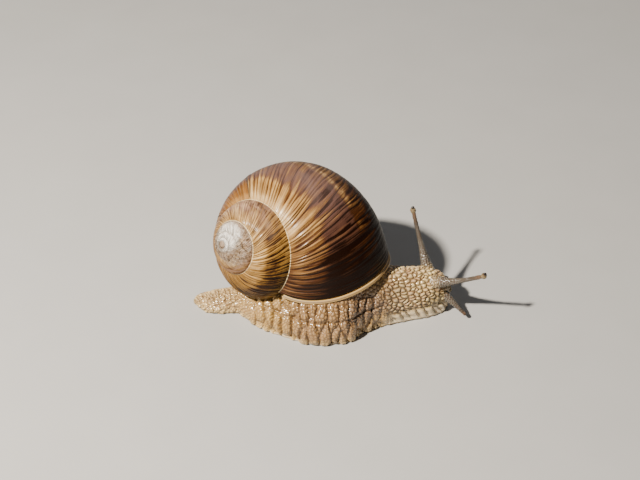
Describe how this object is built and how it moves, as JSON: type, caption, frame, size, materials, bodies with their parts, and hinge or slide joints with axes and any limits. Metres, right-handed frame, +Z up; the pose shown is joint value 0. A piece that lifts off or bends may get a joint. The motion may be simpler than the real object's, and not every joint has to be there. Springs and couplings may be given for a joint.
{
  "type": "land snail",
  "caption": "Life-size still model of a crawling land snail: round spiral shell with dark bands, knobbly skin, feelers held out.",
  "frame": {"origin": "on the floor under the middle of the foot, in the plane of its flat sole", "axes": "+X the way the snail crawls, +Y to its left, +Z up"},
  "size_m": [0.0719, 0.0376, 0.0348],
  "materials": {
    "shell": "glossy brown horn with dark bands and pale growth ribs",
    "lip": "cream, satin",
    "flesh": "wet knobbly skin, beige with brown grooves",
    "feeler": "moist fine-grained skin",
    "eye": "glossy black"
  },
  "bodies": {
    "root": {"shell": "shell", "shell_lip": "lip", "mantle_collar": "flesh", "head": "flesh", "mouth_lobe_left": "flesh", "mouth_lobe_right": "flesh", "neck": "flesh", "trunk": "flesh", "tail": "flesh", "foot_front": "flesh", "foot_middle": "flesh", "foot_rear": "flesh", "upper_feeler_left_lower": "feeler", "upper_feeler_left_upper": "feeler", "upper_feeler_left_bulb": "feeler", "upper_feeler_right_lower": "feeler", "upper_feeler_right_upper": "feeler", "upper_feeler_right_bulb": "feeler", "lower_feeler_left_base": "feeler", "lower_feeler_left_tip": "feeler", "lower_feeler_right_base": "feeler", "lower_feeler_right_tip": "feeler", "eye_left": "eye", "eye_right": "eye"}
  },
  "joints": []
}
